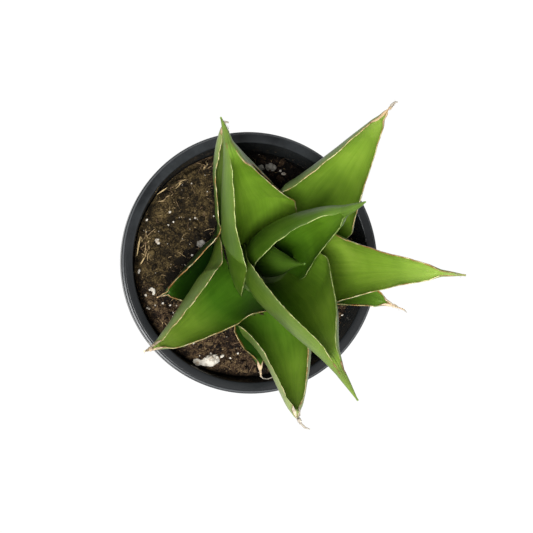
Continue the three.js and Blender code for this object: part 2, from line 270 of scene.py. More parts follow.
# A soft lamp at the photo's lower left, a weak one on its right, and a white floor without a shadow.
def makeLights():
    world = bpy.data.worlds.new("studio")
    bpy.context.scene.world = world
    world.use_nodes = True
    background = world.node_tree.nodes["Background"]
    background.inputs[0].default_value = (1, 1, 1, 1)
    background.inputs[1].default_value = light["world"]
    for name in ("key", "fill"):
        row = light[name]
        lamp = bpy.data.lights.new(name, "AREA")
        lamp.shape = "DISK"
        lamp.size = row["size"]
        lamp.energy = row["power"]
        obj = bpy.data.objects.new(name, lamp)
        bpy.context.scene.collection.objects.link(obj)
        way = wayAt(row["elevation"], row["azimuth"])
        obj.location = way * row["distance"] + np.array([0, 0, rimZ * mm])
        obj.rotation_euler = Vector(way.tolist()).to_track_quat("Z", "Y").to_euler()
    shade = Shader("white_floor")
    shade.set(Base_Color=(0, 0, 0), Roughness=1.0, Emission_Color=(1, 1, 1), Emission_Strength=1.0)
    half, low = light["floor"]["half"], light["floor"]["z"]
    corners = [[x * half, y * half, low] for x, y in ((-1, -1), (1, -1), (1, 1), (-1, 1))]
    floor = makePiece("floor", corners, [[0, 1, 2, 3]], shade.material)
    bpy.context.scene.view_settings.view_transform = "Standard"


makeCamera()
makeLights()
print("camera, lights and floor are set")


# Leaves from the innermost to the oldest, with the sizes of the solid leaves.
# tip: end of the awl. root: direction and distance of the base from the plant's axis.
# rise: slope at base and tip. lean: direction of the tip. back: where the back faces, base and tip.
# half: half the width along the arc. neck: share of it at the base. widest: where along the leaf.
# taper: fullness to the tip. notch: where the margins meet. awl: radius there. curl: chord over arc.
# shut: where the curl starts to close. thick: at the base. hug: share of the half width near the base,
# left and right. trim: the same above the base. age: 0 young to 1 old. dry: where the dried end starts.
# pale: how bleached it is, and how chalky the back. brown: left and right margin.
# shade: how light the green is, own tone and painted shade. deep: painted shade towards the base.
# singe: how brown it is where the margins meet. scorch: how brown the back is near the dried end.
leafColumns = [
    "tip", "root", "rise", "lean", "back", "half", "neck", "widest", "taper", "notch", "awl",
    "curl", "shut", "thick", "trim", "hug", "age", "dry", "pale", "brown", "shade", "deep", "singe", "scorch",
]
leafRows = [
    [
        [10, -3, 138], [228, 3.2], [75, 88], 343, [236, 256], 17.5, 0.85, 0.36, 1, 0.86, 0.7,
        [0.44, 0.4], 0.5, 3, [1, 1], [0.9, 0.9], 0.0, 1.2, 0.2, [0, 0], 0.5, 1, 0.0, 0,
    ],
    [
        [25, 19, 170.5], [90, 5], [60, 87], 55, [91, 52], 27, 0.75, 0.26, 1.45, 0.83, 1.7,
        [0.42, 0.44], 0.75, 3.6, [1, 1], [1.05, 1], 0.1, 1.2, 0.2, [0.05, 0.05], 0.62, 0.6, 0.3, 0,
    ],
    [
        [20, -53.5, 176.5], [284, 7], [67, 47], 292, [276, 280], 31.5, 0.8, 0.34, 1.2, 0.86, 1.4,
        [0.4, 0.5], 0.6, 3.4, [1, 1], [0.95, 1.05], 0.25, 1.1, 0.3, [0.15, 0.2], 0.92, 0.45, 0.9, 0,
    ],
    [
        [-29, 48.5, 170], [127, 11], [61, 71], 157, [138, 107], 34.5, 0.8, 0.32, 0.8, 0.79, 1.3,
        [0.68, 0.46], 0.45, 4, [1, 0.68], [0.95, 0.8], 0.2, 1.05, 0.3, [0.15, 0.8], 0.84, 0.15, 0.8, 0,
    ],
    [
        [66, -7.5, 163.5], [355, 14], [53, 35], 352, [356, 4], 20.5, 0.7, 0.42, 0.8, 0.92, 0.95,
        [0.58, 0.68], 0.85, 3.8, [1, 1], [0.8, 0.9], 0.4, 0.99, 0.2, [0.9, 0.9], 1.0, 0.1, 1, 0,
    ],
    [
        [39, 57, 161.5], [54, 17], [43, 71], 61, [62, 70], 29, 0.7, 0.34, 0.8, 0.9, 1,
        [0.68, 0.58], 0.85, 3.4, [1, 1], [0.6, 0.85], 0.4, 0.91, 0.25, [0.6, 0.8], 1.0, 0.45, 0.3, 1,
    ],
    [
        [-53, -36, 145], [213, 12.5], [49, 69], 188, [224, 202], 26, 0.95, 0.36, 1, 0.87, 1,
        [0.86, 0.4], 0.75, 4, [0.76, 1], [0.9, 1.05], 0.4, 0.88, 0.45, [0.7, 0.4], 1.04, 1.3, 0.4, 1,
    ],
    [
        [7.7, -62.9, 141], [291, 16.5], [47, 82], 297, [321, 259], 28.5, 0.75, 0.3, 0.8, 0.9, 1.2,
        [0.64, 0.5], 0.8, 3.8, [1, 1], [0.65, 0.85], 0.5, 0.9, 0.9, [0.9, 0.3], 0.97, 0.8, 0.6, 0.3,
    ],
    [
        [-21, 51, 138], [112, 16.5], [44, 87], 115, [118, 100], 24, 0.75, 0.32, 0.85, 0.92, 0.7,
        [0.94, 0.6], 0.55, 3.8, [1, 1], [0.9, 0.6], 0.9, 0.9, 0.2, [1, 1], 1.35, 1, 0.5, 0.5,
    ],
    [
        [54.5, -20, 124], [340, 17], [38, 36], 334, [329, 334], 14, 0.75, 0.4, 1.05, 0.88, 0.9,
        [0.58, 0.72], 0.8, 3.8, [1, 1], [0.85, 0.9], 0.7, 0.86, 0.5, [0.9, 0.9], 0.64, 1, 0.5, 0.3,
    ],
    [
        [-42, -15, 105.5], [191, 17], [22, 41], 203, [185, 185], 24.5, 0.85, 0.36, 0.95, 0.88, 0.7,
        [0.94, 0.66], 0.85, 3.8, [1, 1], [0.9, 1.05], 0.9, 0.92, 0.2, [0.9, 0.9], 0.25, 1, 0.5, 0.6,
    ],
    [
        [2.5, -47, 95], [258, 16.5], [12, 30], 268, [258, 266], 10, 0.85, 0.42, 1, 0.88, 0.8,
        [0.7, 0.9], 0.65, 3, [1, 1], [0.9, 0.9], 1.0, 0.85, 0.4, [0.8, 0.8], 0.36, 1, 0.5, 0.3,
    ],
]
leaves = [
    dict(zip(leafColumns, row, strict=True), name=f"leaf_{number:02d}")
    for number, row in enumerate(leafRows, 1)
]

blade = {
    "rings": 170,  # steps along a leaf
    "coarse": (0.7, 1.07),  # up to this share of the rings, they stand this much further apart
    "fine": (0.749, 0.251),  # where the closer rings start, and what is left from there
    "spans": 46,  # steps across each face
    "rimSteps": 5,  # steps round a margin
    "edge": 0.34,  # thickness at the margin
    "thinning": 0.45,  # how much thinner a leaf is at its tip
    "basePull": 0.36,  # pull of the curve at its ends, over the leaf's span
    "tipPull": 0.33,
    "widestOpen": 2.5,  # limit of half the opening, in radians
    "chordLimits": (0.012, 0.9995),
    "tipR": 0.3,
    "tipLoss": 0.88,  # how much of the awl's radius is lost towards its end
    "room": 0.3,  # kept clear round a leaf that stands nearer the middle
    "shrink": 0.42,  # how far a dried end has shrunk
    "shrinkIn": 0.04,  # share of the leaf over which it shrinks
    "knots": 0.55,  # unevenness of the shrunk end
    "knotLength": 1.6,
    "leastHalf": 0.7,
    "waveAcross": 0.54,  # how far a margin waves sideways
    "waveOut": 0.38,  # how far it waves in and out
    "waveLength": 6.5,
    "teeth": 0.25,  # small nicks of the margins
    "toothLength": 1.9,
    "swell": 0.22,  # broad unevenness of the faces
    "swellLength": 17.0,
    "ribs": 0.035,  # fine lengthwise ribs
    "ribCount": 15,
    "ribBend": 25.0,  # length over which the ribs wander
    "slimR": 3.0,  # radius below which waves and ribs fade
    "seeds": {"knots": 170, "swell": 40, "ribs": 60, "waveOut": 80, "waveAcross": 120, "teeth": 150},
}
rimTurns = np.linspace(0, math.pi, blade["rimSteps"] + 1)[1:-1]


# Half opening of an arc whose chord is that share of its length, by Newton's rule.
def openingOf(share):
    a = np.minimum(np.sqrt(6 * (1 - share)), 3.1)
    for _ in range(12):
        a = np.clip(a - (np.sin(a) / a - share) / ((a * np.cos(a) - np.sin(a)) / (a * a)), 0.001, 3.14)
    return np.minimum(a, blade["widestOpen"])


# A cubic curve from base to tip, with the way across the leaf and the way inwards at each station.
def leafSpine(leaf, s):
    turn = math.radians(leaf["root"][0])
    base = np.array([*(plantAxis + leaf["root"][1] * np.array([math.cos(turn), math.sin(turn)])), rootZ])
    tip = np.array(leaf["tip"], float)
    span = np.linalg.norm(tip - base)
    p1 = base + blade["basePull"] * span * wayAt(leaf["rise"][0], leaf["root"][0])
    p2 = tip - blade["tipPull"] * span * wayAt(leaf["rise"][1], leaf["lean"])
    t = s[:, None]
    point = (1 - t) ** 3 * base + 3 * (1 - t) ** 2 * t * p1 + 3 * (1 - t) * t**2 * p2 + t**3 * tip
    along = 3 * (1 - t) ** 2 * (p1 - base) + 6 * (1 - t) * t * (p2 - p1) + 3 * t**2 * (tip - p2)
    along /= np.linalg.norm(along, axis=1)[:, None]
    swing = (leaf["back"][1] - leaf["back"][0] + 540) % 360 - 180
    face = np.radians(leaf["back"][0] + swing * smooth(s))
    across = np.stack([np.sin(face), -np.cos(face), 0 * face], 1)
    across -= (across * along).sum(1)[:, None] * along
    across /= np.linalg.norm(across, axis=1)[:, None]
    return point, across, np.cross(across, along), span


# Half the width along the arc: it swells from the base, then narrows into the awl.
def halfWidth(leaf, s):
    half, neck, widest, notch = leaf["half"], leaf["neck"], leaf["widest"], leaf["notch"]
    awl = math.pi * leaf["awl"]
    early = half * (neck + (1 - neck) * np.sin(math.pi / 2 * np.clip(s / widest, 0, 1)))
    late = np.clip((s - widest) / (notch - widest), 0, 1)
    narrowing = awl + (half - awl) * (1 - late ** leaf["taper"])
    point = awl * (1 - blade["tipLoss"] * np.clip((s - notch) / (1 - notch), 0, 1) ** 1.2)
    width = np.where(s < widest, early, np.where(s > notch, point, narrowing))
    return np.maximum(width, math.pi * blade["tipR"])


# Half width, half opening of the curl, and how far the margins have closed, at each station.
def leafCurl(leaf, number, s, span):
    half = halfWidth(leaf, s)
    shrunk = smooth((s - max(leaf["dry"], leaf["notch"])) / blade["shrinkIn"])
    stations = np.stack([s * span, 5.0 * number + 0 * s, 0 * s], -1)
    knots = blade["knots"] * roughNoise(stations, blade["knotLength"], blade["seeds"]["knots"] + number, 2)
    half = np.maximum(half * (1 - shrunk * (blade["shrink"] - knots)), blade["leastHalf"])
    closing = np.clip((s - leaf["shut"]) / (leaf["notch"] - leaf["shut"]), 0, 1)
    wide = leaf["curl"][0] + (leaf["curl"][1] - leaf["curl"][0]) * smooth(s / leaf["widest"])
    return half, openingOf(np.clip(wide * (1 - closing**1.6), *blade["chordLimits"])), closing


# Broad swells and fine ribs on both faces, and waves and nicks that grow towards the margins.
def leafWaves(leaf, number, s, v, half, span):
    length = s[:, None] * span
    here = np.stack(np.broadcast_arrays(v * half[:, None], length, 7.0 * number), -1)
    rimAt = np.stack(np.broadcast_arrays(np.sign(v) * 50.0, length, 3.0 * number), -1)
    calm = smooth((1 - s) / 0.25)[:, None] * smooth(s / 0.12)[:, None]
    nearRim = smooth((np.abs(v) - 0.7) / 0.3) * calm
    atRim = smooth((np.abs(v) - 0.94) / 0.06) * calm
    amount = 0.55 + 0.6 * leaf["age"]
    seeds = blade["seeds"]

    def wave(kind, cell, layers, fade):
        return blade[kind] * amount * roughNoise(rimAt, cell, seeds[kind] + number, layers, fade)

    swell = blade["swell"] * roughNoise(here, blade["swellLength"], seeds["swell"] + number, 2) * calm
    wander = 2.0 * latticeNoise(here, blade["ribBend"], seeds["ribs"] + number)
    ribs = blade["ribs"] * np.cos(math.pi * blade["ribCount"] * v + wander) * calm
    out = wave("waveOut", blade["waveLength"], 3, 0.45) * nearRim
    aside = wave("waveAcross", blade["waveLength"], 3, 0.5) * nearRim
    aside = aside + wave("teeth", blade["toothLength"], 2, 0.7) * atRim
    return swell + out, aside, ribs


# Colour maps: place on the leaf, distance to the margin, face, and the leaf's own tones.
def leafMaps(leaf, s, v, half, joined):
    flat = np.broadcast_to(v, (len(s), v.shape[1]))
    rims = np.ones((len(s), len(rimTurns)))
    across = np.concatenate([flat, rims, flat[:, ::-1], -rims], 1)
    along = np.broadcast_to(s[:, None], across.shape)
    toMargin = (1 - np.abs(across)) * half[:, None] + 5 * joined
    faceStep = np.broadcast_to(rimTurns / math.pi, rims.shape)
    face = np.concatenate([0 * flat, faceStep, 0 * flat + 1, faceStep[:, ::-1]], 1)
    face = face * (1 - joined)
    beside = smooth((np.abs(across) - 0.5) / 0.5)
    fromNotch = along - leaf["notch"]
    singed = leaf["singe"] * smooth((fromNotch + 0.045) / 0.03) * smooth((0.055 - fromNotch) / 0.04) * beside
    scorched = leaf["scorch"] * smooth((along - leaf["dry"] + 0.11) / 0.08) * (1 - face) * beside
    dry = np.clip((along - leaf["dry"]) / 0.08 + 0.35 + 0.4 * beside, 0, 1)
    dry = np.clip(dry + 0.75 * singed + 0.6 * scorched, 0, 1)
    brown = leaf["brown"][0] + (leaf["brown"][1] - leaf["brown"][0]) * (across > 0)
    steady = np.ones_like(across)

    def flatten(a, b):
        grid = np.stack([a, b], -1).reshape(-1, 2)
        return np.concatenate([grid, grid[:1], grid[-1:]])

    return {
        "skin": flatten(across * 0.5 + 0.5, along),
        "rim": flatten(toMargin * 0.1, face),
        "tone": flatten(dry, steady * leaf["age"]),
        "tint": flatten(steady * leaf["pale"], brown),
        # This map carries painted shade: how dark the leaf is as a whole, and how much darker towards its
        # base.
        "depth": flatten(steady * leaf["shade"], steady * leaf["deep"]),
    }


# A leaf as loops round its section: the back, a rounded margin, the inner face and the other margin.
# Across the section runs v from -1 to 1; each face is an arc, and past the notch the loop is a full ring.
def leafSkin(leaf, number, grow=0.0):
    u = np.linspace(0, 1, blade["rings"])
    bend, pace = blade["coarse"]
    start, rest = blade["fine"]
    s = np.where(u < bend, u * pace, start + (u - bend) * rest / 0.3)
    v = np.linspace(-1, 1, blade["spans"] + 1)[None, :]
    point, sideways, inward, span = leafSpine(leaf, s)
    half, opened, closing = leafCurl(leaf, number, s, span)
    r = (half / opened)[:, None]
    opened, closing = opened[:, None], closing[:, None]
    sealed = smooth(closing) ** 3
    joined = smooth((closing - 0.86) / 0.14)
    base = smooth(s / 0.5)[:, None]
    hug = np.where(v < 0, leaf["hug"][0], leaf["hug"][1])
    share = hug + (1 - hug) * base
    trimmed = (1 - np.where(v < 0, *leaf["trim"])) * base * (1 - smooth(closing) ** 2)
    angle = opened * v * share * (1 - trimmed) + grow / r * v
    full = (leaf["thick"] * (1 - blade["thinning"] * s))[:, None]
    depth = blade["edge"] + (full - blade["edge"]) * (1 - np.abs(v) ** 2.2)
    depth = np.minimum(depth, r * (0.93 - 0.43 * v * v))
    lift, aside, ribs = leafWaves(leaf, number, s, v, half, span)
    slim = np.minimum(r / blade["slimR"], 1)
    angle = angle + aside * np.sign(v) / np.maximum(r, 2.0)
    lift = lift * slim

    def arc(radius, a):
        return np.stack([radius * np.sin(a), r - radius * np.cos(a)], -1)

    outer = arc(r + grow + lift + ribs * slim, angle)
    under = arc(np.maximum(r - depth - grow + lift - 0.6 * ribs, 0.05), angle)
    ring = arc(r * (0.96 - 0.12 * np.exp(-((v / 0.25) ** 2))) + grow, math.pi - v * (math.pi - opened))
    inner = under + (ring - under) * sealed[..., None]

    # Margins: a half round from the back to the inner face.
    def rim(o, i, side):
        middle, reach = (o + i) / 2, (o - i) / 2
        out = np.stack([reach[:, 1], -reach[:, 0]], -1) * side
        return np.stack([middle + math.cos(t) * reach + math.sin(t) * out * 0.9 for t in rimTurns], 1)

    right = rim(outer[:, -1], inner[:, -1], -1)
    left = rim(outer[:, 0], inner[:, 0], 1)[:, ::-1]
    loop = np.concatenate([outer, right, inner[:, ::-1], left], 1)
    place = point[:, None] + loop[..., :1] * sideways[:, None] + loop[..., 1:] * inward[:, None]
    rows, around = place.shape[:2]
    points = np.concatenate([place.reshape(-1, 3), [point[0]], [place[-1].mean(0)]])
    faces = loopFaces(rows, around, rows * around, rows * around + 1)
    return points, faces, leafMaps(leaf, s, v, half, joined)


leafLook = {
    "inner": [(0.28, (0.096, 0.178, 0.011)), (0.52, (0.155, 0.262, 0.02)), (0.8, (0.225, 0.335, 0.036))],
    "outer": [(0.28, (0.062, 0.115, 0.011)), (0.52, (0.1, 0.16, 0.018)), (0.8, (0.165, 0.23, 0.04))],
    "old": (0.028, 0.07, 0.012),
    "deep": (0.36, 0.6, 0.3),  # these two multiply the green as painted shade towards the base
    "deepBack": (0.56, 0.62, 0.34),
    "tip": (0.3, 0.4, 0.08),
    "chalk": (0.42, 0.46, 0.22),
    "cream": (0.6, 0.52, 0.3),
    "fresh": (0.3, 0.38, 0.13),
    "rust": (0.17, 0.06, 0.016),
    "tan": (0.33, 0.2, 0.06),
    "bark": (0.13, 0.055, 0.02),
    "bleached": (0.68, 0.6, 0.48),
    "streaks": (34.0, 3.2),  # across and along the leaf
    "ribs": (120.0, 6.0),
    "cloud": 75.0,  # scales of the noises, per metre
    "stretch": 140.0,
    "patchy": 190.0,
    "broken": 420.0,
    "grain": 900.0,
    "redFade": 1.55,  # how much faster red and blue fade in a dark leaf
    "blueFade": 2.2,
}


# Green faces with lengthwise streaks and clouds, darker on old leaves.
def leafGreen(shade, look, across, along, face, age, cloud):
    acrossScale, alongScale = look["streaks"]
    lengthwise = shade.vector(shade.times(across, acrossScale), shade.times(along, alongScale), age)
    streak = shade.noise(lengthwise, 1.0, 4.0, 0.6)
    tone = shade.plus(shade.times(streak, 0.45), shade.times(cloud, 0.55))
    green = shade.mix(face, shade.ramp(tone, look["outer"]), shade.ramp(tone, look["inner"]))
    return shade.mix(shade.times(shade.power(age, 2.0), 0.8), green, look["old"])


# The whole leaf: its green with painted shade, a thin broken horny margin beside a red-brown line, and a
# dried end.
def makeLeafMaterial(look):
    shade = Shader("leaf_skin")
    place = shade.place()
    across, along = shade.uv("skin")
    toMargin, face = shade.uv("rim")
    dry, age = shade.uv("tone")
    pale, brown = shade.uv("tint")
    depth, deep = shade.uv("depth")
    back = shade.math("SUBTRACT", 1.0, face)
    cloud = shade.noise(place, look["cloud"], 3.0, 0.5)
    grain = shade.noise(place, look["grain"], 2.0, 0.6)
    patchy = shade.noise(place, look["patchy"], 3.0, 0.6)
    broken = shade.noise(place, look["broken"], 3.0, 0.6)
    stretch = shade.noise(place, look["stretch"], 2.0, 0.5)
    green = leafGreen(shade, look, across, along, face, age, cloud)
    # Painted shade: each face, and more weakly the back, is darker towards the base, deep in the rosette.
    lowFaceShade = shade.times(shade.step(along, 0.62, 0.12), deep, face)
    lowBackShade = shade.times(shade.step(along, 0.85, 0.3), 0.8, back)
    green = shade.mix(lowFaceShade, green, look["deep"], "MULTIPLY")
    green = shade.mix(lowBackShade, green, look["deepBack"], "MULTIPLY")
    green = shade.mix(shade.times(shade.step(along, 0.6, 1.0), 0.35), green, look["tip"])
    # The leaf's shade value darkens it as a whole, red and blue faster: partly its own tone, partly painted
    # shade.
    fade = shade.vector(shade.power(depth, look["redFade"]), depth, shade.power(depth, look["blueFade"]))
    green = shade.mix(1.0, green, fade, "MULTIPLY")
    chalky = shade.times(shade.power(pale, 3.0), shade.step(along, 0.3, 0.75), back)
    green = shade.mix(shade.times(chalky, 0.55), green, look["chalk"])

    # The margin measures a few tenths of a millimetre, and is missing in places.
    margin = shade.plus(toMargin, shade.swing(grain, 0.03))
    rustShare = shade.times(shade.step(margin, 0.07, 0.02), shade.step(patchy, 0.42, 0.62))
    coloured = shade.mix(shade.times(rustShare, brown), green, look["rust"])
    horn = shade.mix(shade.times(shade.step(patchy, 0.36, 0.6), brown), look["cream"], look["tan"])
    horn = shade.mix(shade.times(shade.step(brown, 0.42, 0.08), 0.85), horn, look["fresh"])
    whole = shade.plus(shade.times(shade.step(broken, 0.38, 0.52), 0.75), 0.25)
    whole = shade.times(whole, shade.plus(shade.times(shade.step(stretch, 0.4, 0.55), 0.6), 0.4))
    coloured = shade.mix(shade.times(shade.step(margin, 0.014, 0.003), whole), coloured, horn)

    # The dried end has a ragged limit: brown first, then bleached as far as the leaf is pale.
    ragged = shade.plus(dry, shade.swing(patchy, 1.1))
    dead = shade.step(ragged, 0.45, 0.7)
    tanned = shade.mix(shade.step(ragged, 0.5, 1.0), look["bark"], look["tan"])
    bleach = shade.times(shade.step(ragged, 0.55, 1.0), pale)
    coloured = shade.mix(dead, coloured, shade.mix(bleach, tanned, look["bleached"]))
    gloss = shade.plus(shade.times(dead, 0.3), shade.times(cloud, 0.16))
    acrossScale, alongScale = look["ribs"]
    fineRibs = shade.vector(shade.times(across, acrossScale), shade.times(along, alongScale), age)
    ribbed = shade.noise(fineRibs, 1.0, 3.0)
    shade.set(
        Base_Color=coloured,
        Roughness=shade.plus(gloss, 0.36),
        Specular_IOR_Level=0.36,
        Subsurface_Weight=0.08,
        Subsurface_Radius=(0.6, 1.0, 0.2),
        Subsurface_Scale=0.0012,
        Normal=shade.bump(grain, 0.12, 0.0002, shade.bump(ribbed, 0.25, 0.0003)),
    )
    return shade.material


# The piece loses what the cutter holds.
def cutAway(piece, cutter):
    modifier = piece.modifiers.new("cut", "BOOLEAN")
    modifier.operation = "DIFFERENCE"
    modifier.solver = "MANIFOLD"
    modifier.object = cutter
    shape = bpy.data.meshes.new_from_object(piece.evaluated_get(bpy.context.evaluated_depsgraph_get()))
    piece.modifiers.clear()
    old, piece.data = piece.data, shape
    shape.name = piece.name
    bpy.data.meshes.remove(old)


# Keeps the largest connected body of a cut piece: each vertex takes the lowest number it can reach.
def keepLargest(piece):
    mesh = piece.data
    edges = np.zeros(len(mesh.edges) * 2, np.int64)
    mesh.edges.foreach_get("vertices", edges)
    a, b = edges.reshape(-1, 2).T
    label = np.arange(len(mesh.vertices))
    while True:
        before = label.copy()
        low = np.minimum(label[a], label[b])
        np.minimum.at(label, a, low)
        np.minimum.at(label, b, low)
        label = label[label]
        if (label == before).all():
            break
    values, counts = np.unique(label, return_counts=True)
    if len(values) == 1:
        return 0
    keep = values[counts.argmax()]
    work = bmesh.new()
    work.from_mesh(mesh)
    work.verts.ensure_lookup_table()
    bmesh.ops.delete(work, geom=[work.verts[i] for i in np.where(label != keep)[0]], context="VERTS")
    work.to_mesh(mesh)
    work.free()
    return len(values) - 1


# Whether the boxes round two sets of points overlap.
def boxesMeet(a, b):
    lowA, highA = a.min(0), a.max(0)
    lowB, highB = b.min(0), b.max(0)
    return bool((lowA < highB).all() and (lowB < highA).all())


# Each leaf loses what the leaves nearer the middle take up, with some room, and keeps its largest body.
def makeLeaves(material):
    cutters = []
    for number, leaf in enumerate(leaves, 1):
        points, faces, maps = leafSkin(leaf, number)
        piece = makePiece(leaf["name"] + "_skin", points, faces, material, maps)
        for cutter, reach in cutters:
            if boxesMeet(points, reach):
                cutAway(piece, cutter)
        dropped = keepLargest(piece)
        finishMesh(piece.data, 50)
        addPiece(piece, "leaf", leaf["name"])
        grown, grownFaces, _ = leafSkin(leaf, number, blade["room"])
        cutters.append((makePiece("room", grown, grownFaces, material), grown))
        print("leaf", number, len(piece.data.polygons), "faces, dropped", dropped)
    for cutter, _ in cutters:
        bpy.data.objects.remove(cutter)


makeLeaves(makeLeafMaterial(leafLook))
print("leaves are made")


pot = {
    "around": 256,  # facets round the pot
    "rimR": 54.0,
    "lip": 4.8,
    "lipThick": 1.4,
    "skirtZ": 83.6,
    "footR": 38.0,
    "wall": 1.0,
    "floorZ": 1.6,
    "roundSteps": 5,
    "sharp": 35,  # edges with a greater angle stay sharp
    "drain": {"count": 8, "radius": 3.8, "ring": 27.0, "facets": 48, "reach": (-3, 5)},
}


# A profile with each inner corner rounded: a short curve that starts and ends its radius away from it.
def roundedProfile(rows, steps):
    corners = np.array([corner for corner, _ in rows], float)
    radii = [radius for _, radius in rows[1:-1]]
    points = [corners[0]]
    for before, corner, after, radius in zip(corners, corners[1:], corners[2:], radii):
        intoIt, outOf = before - corner, after - corner
        reach = min(radius, 0.45 * np.linalg.norm(intoIt), 0.45 * np.linalg.norm(outOf))
        start = corner + intoIt / np.linalg.norm(intoIt) * reach
        end = corner + outOf / np.linalg.norm(outOf) * reach
        for t in np.linspace(0, 1, steps):
            points.append((1 - t) ** 2 * start + 2 * (1 - t) * t * corner + t * t * end)
    points.append(corners[-1])
    return np.array(points)


# A profile of radius and height turned round the pot's axis, closed where it meets the axis at both ends.
def turnedSkin(profile, around):
    turn = np.linspace(0, 2 * math.pi, around, endpoint=False)
    ring = profile[1:-1]
    flat, high = ring[:, :1], np.broadcast_to(ring[:, 1:], (len(ring), around))
    grid = np.stack([flat * np.cos(turn), flat * np.sin(turn), high], -1)
    points = np.concatenate([grid.reshape(-1, 3), [[0, 0, profile[0, 1]]], [[0, 0, profile[-1, 1]]]])
    return points, loopFaces(len(ring), around, len(ring) * around, len(ring) * around + 1)


potLook = {
    "black": (0.019, 0.021, 0.0215),
    "worn": (0.026, 0.028, 0.029),
    "dust": (0.07, 0.052, 0.036),
    # The next three colours are painted: the lip's darker top as shade, its paler patches as light, and the
    # ledge's pale line as a highlight.
    "lip": (0.0085, 0.0095, 0.0105),
    "litLip": (0.022, 0.0245, 0.0265),
    "line": (0.055, 0.058, 0.061),
    "middleOfWall": (0.1415, 0.0371),  # its radius grows with the height, from this at the bottom
    "dustFrom": (0.072, 0.077),  # heights and radii here are in metres, from nothing to full
    "dustTo": (0.0875, 0.0805),
    "lipR": (0.0478, 0.0496),
    "lipZ": (0.0885, 0.0898),
    "ledgeIn": (0.05285, 0.0531),
    "ledgeOut": (0.0537, 0.0534),
    "ledgeZ": (0.0878, 0.0886),
    "litLipY": (-0.01, 0.04),
}


# Satin black plastic with faint turning marks, dust near the mix, and painted shade, painted light and a
# painted highlight on the rim.
def makePotMaterial(look):
    shade = Shader("pot_plastic")
    place = shade.place()
    x, y, z = shade.split(place)
    radius = shade.math("SQRT", shade.plus(shade.power(x, 2.0), shade.power(y, 2.0)))
    rings = shade.noise(shade.vector(0.0, 0.0, z), 900.0, 3.0, 0.6)
    cloud = shade.noise(place, 60.0, 4.0, 0.6)
    fine = shade.noise(place, 1500.0, 2.0, 0.5)
    specks = shade.noise(place, 620.0, 2.0, 0.4)
    base = shade.mix(shade.step(cloud, 0.35, 0.75), look["black"], look["worn"])

    # Dust stays on the inner side of the wall, just above the mix.
    dusty = shade.times(shade.step(z, *look["dustTo"]), shade.step(specks, 0.6, 0.66))
    dusty = shade.times(dusty, shade.step(z, *look["dustFrom"]))
    slope, bottom = look["middleOfWall"]
    inside = shade.math("LESS_THAN", radius, shade.plus(shade.times(z, slope), bottom))
    base = shade.mix(shade.times(dusty, inside), base, look["dust"])

    # Painted shade and light on the lip: its top is painted darker, paler in patches towards +y, and the
    # ledge at its outer edge has a pale line that is a painted highlight.
    lip = shade.times(shade.step(radius, *look["lipR"]), shade.step(z, *look["lipZ"]))
    litLip = shade.times(shade.step(y, *look["litLipY"]), shade.step(cloud, 0.3, 0.6))
    base = shade.mix(lip, base, shade.mix(litLip, look["lip"], look["litLip"]))
    ledge = shade.times(shade.step(radius, *look["ledgeIn"]), shade.step(radius, *look["ledgeOut"]))
    base = shade.mix(shade.times(ledge, shade.step(z, *look["ledgeZ"])), base, look["line"])
    shade.set(
        Base_Color=base,
        Roughness=shade.plus(shade.times(cloud, 0.14), 0.17),
        Specular_IOR_Level=0.18,
        Normal=shade.bump(fine, 0.1, 0.0001, shade.bump(rings, 0.12, 0.0002)),
    )
    return shade.material


# One profile turned round the axis, with a ring of round holes through the floor.
def makePot(material):
    rim, foot, wall, floor, skirt = (pot[k] for k in ("rimR", "footR", "wall", "floorZ", "skirtZ"))
    inner = rim - pot["lip"]
    under = rimZ - pot["lipThick"]
    corners = [  # radius and height, then how round the corner is
        ([0, 0], 0), ([foot - 0.7, 0], 1.2), ([foot, 1.3], 0.8), ([inner + wall, under], 0.6),
        ([rim - 1.2, under], 0.5), ([rim - 1.2, skirt], 0.25), ([rim - 0.2, skirt], 0.3),
        ([rim, rimZ - 1.6], 0.4), ([rim - 0.15, rimZ - 1.0], 0.3), ([rim - 1.0, rimZ - 0.9], 0.25),
        ([rim - 1.15, rimZ], 0.45), ([inner + 0.2, rimZ], 0.7), ([inner, rimZ - 1.2], 0.8),
        ([foot - wall, floor + 1], 1.0), ([foot - wall - 1, floor], 0.8), ([0, floor], 0),
    ]
    points, faces = turnedSkin(roundedProfile(corners, pot["roundSteps"]), pot["around"])
    piece = makePiece("pot_shell", points, faces, material, sharp=pot["sharp"])
    drain = pot["drain"]
    low, high = drain["reach"]
    bore = np.array([[0, low], [drain["radius"], low], [drain["radius"], high], [0, high]], float)
    for k in range(drain["count"]):
        turn = (k + 0.5) / drain["count"] * 2 * math.pi
        boreSkin, boreFaces = turnedSkin(bore, drain["facets"])
        boreSkin = boreSkin + np.array([drain["ring"] * math.cos(turn), drain["ring"] * math.sin(turn), 0])
        cutter = makePiece("bore", boreSkin, boreFaces, material)
        cutAway(piece, cutter)
        bpy.data.objects.remove(cutter)
    finishMesh(piece.data, pot["sharp"])
    addPiece(piece, "pot", "pot")


soil = {
    "height": 81.5,  # mean height of the potting mix
    "edgeR": 46.4,  # where it rolls off towards the wall
    "shadowDark": 1.25,  # how much darker the painted shadow makes the mix
    "rings": 150,
    "around": 460,
    "clods": [(7.0, 0.75, 11), (3.2, 0.6, 12), (1.5, 0.5, 13), (0.75, 0.34, 14)],  # cell, height, seed
    "gapFrom": 98.0,  # directions between which the mix stands clear of the wall
    "gapTo": 214.0,
    "gapR": 45.0,
    "gapDepth": 3.4,
    "shadowY": [-13, -5, 2, 9, 20, 46],  # left edge of the painted shadow: its x at these y
    "shadowX": [-39, -36, -31, -21.5, -16.5, -15],
    "feltedAt": (-28.0, 14.0),  # the smooth top of the old root ball
    "feltedR": (24.0, 30.0),
}


